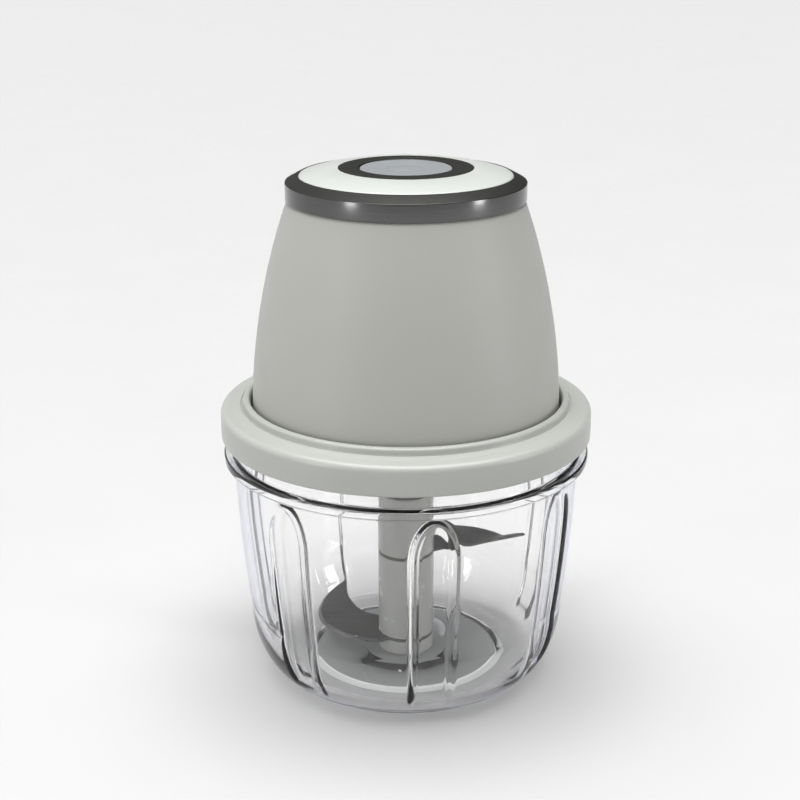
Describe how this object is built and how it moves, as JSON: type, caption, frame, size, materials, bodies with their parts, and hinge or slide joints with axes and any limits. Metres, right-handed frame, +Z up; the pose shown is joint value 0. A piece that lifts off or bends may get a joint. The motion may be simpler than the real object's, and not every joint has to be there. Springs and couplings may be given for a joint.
{
  "type": "food processor",
  "caption": "Cordless mini food processor: clear fluted bowl with stacked sickle blades, push-on collar lid and bell-shaped motor head with one large top button.",
  "frame": {"origin": "on the table under the middle of the bowl's foot pad", "axes": "+Z up along the centre line of bowl, blades and motor; -Y is the front; the charging port is at the back, +Y"},
  "size_m": [0.095, 0.095, 0.1335],
  "materials": {
    "clear_bowl": "clear moulded plastic with a faint violet-blue tint at its edges",
    "white_plastic": "satin cool white",
    "cap_plastic": "smooth white",
    "frosted_housing": "frosted pearl grey",
    "dark_trim": "polished gunmetal",
    "dark_plastic": "smooth near black",
    "button_plastic": "satin blue grey",
    "hub_plastic": "satin light grey",
    "grey_plastic": "plain light grey",
    "blade_steel": "satin dark steel with a ground edge",
    "polished_steel": "bright steel",
    "brass": "turned",
    "grey_silicone": "soft matte grey",
    "flap_rubber": "soft matte pearl grey",
    "board_green": "solder-masked board",
    "cell_wrap": "steel can in a blue sleeve",
    "magnet": "sintered ferrite",
    "lamination_steel": "stacked laminations"
  },
  "bodies": {
    "bowl": {"bowl": "clear_bowl", "foot_pad": "grey_silicone", "bowl_pin": "polished_steel"},
    "blade_rotor": {"hub_foot": "hub_plastic", "hub_spacer": "hub_plastic", "hub_top": "hub_plastic", "hub_core": "polished_steel", "hub_bushing": "brass", "lower_blade": "blade_steel", "upper_blade": "blade_steel"},
    "lid": {"lid_collar": "white_plastic", "lid_plate": "grey_plastic", "lid_seal": "grey_silicone"},
    "motor_head": {"motor_housing": "frosted_housing", "head_base": "grey_plastic", "base_screws": "polished_steel", "trim_ring": "dark_trim", "top_cap": "cap_plastic", "button_bezel": "dark_plastic", "button_spring": "polished_steel", "control_board": "board_green", "board_screws": "polished_steel", "board_components": "dark_plastic", "tact_switch": "dark_plastic", "battery_cell_left": "cell_wrap", "battery_cell_right": "cell_wrap", "battery_cradle": "grey_plastic", "charge_board": "board_green", "charge_socket": "polished_steel", "motor_mount": "grey_plastic", "motor_screws": "polished_steel", "motor_can": "polished_steel", "motor_bearing": "brass", "motor_magnets": "magnet", "motor_end_cap": "dark_plastic", "shaft_bushing": "brass", "shaft_seal": "grey_silicone"},
    "power_button": {"power_button": "button_plastic", "switch_plunger": "dark_plastic"},
    "drive_rotor": {"armature": "lamination_steel", "motor_shaft": "polished_steel", "drive_shaft": "hub_plastic"},
    "port_flap": {"port_flap": "flap_rubber"}
  },
  "joints": [
    {"name": "lid_lift", "type": "slide", "parent": "bowl", "child": "lid", "axis": [0, 0, 1], "range_m": [0, 0.1]},
    {"name": "head_lift", "type": "slide", "parent": "lid", "child": "motor_head", "axis": [0, 0, 1], "range_m": [0, 0.06]},
    {"name": "button_press", "type": "slide", "parent": "motor_head", "child": "power_button", "axis": [0, 0, -1], "range_m": [0, 0.0012], "stiffness_N_per_m": 700, "springref_m": -0.002, "deforming": ["button_spring"]},
    {"name": "drive_spin", "type": "hinge", "parent": "motor_head", "child": "drive_rotor", "pos_m": [0, 0, 0.09], "axis": [0, 0, 1], "continuous": true},
    {"name": "blade_spin", "type": "hinge", "parent": "bowl", "child": "blade_rotor", "pos_m": [0, 0, 0.03], "axis": [0, 0, 1], "continuous": true},
    {"name": "flap_swing", "type": "hinge", "parent": "motor_head", "child": "port_flap", "pos_m": [0, 0.03845, 0.08005], "axis": [-1, 0, 0], "range_deg": [0, 110]}
  ],
  "couplings": [
    {"joint": "blade_spin", "follows": "drive_spin", "ratio": 1}
  ]
}
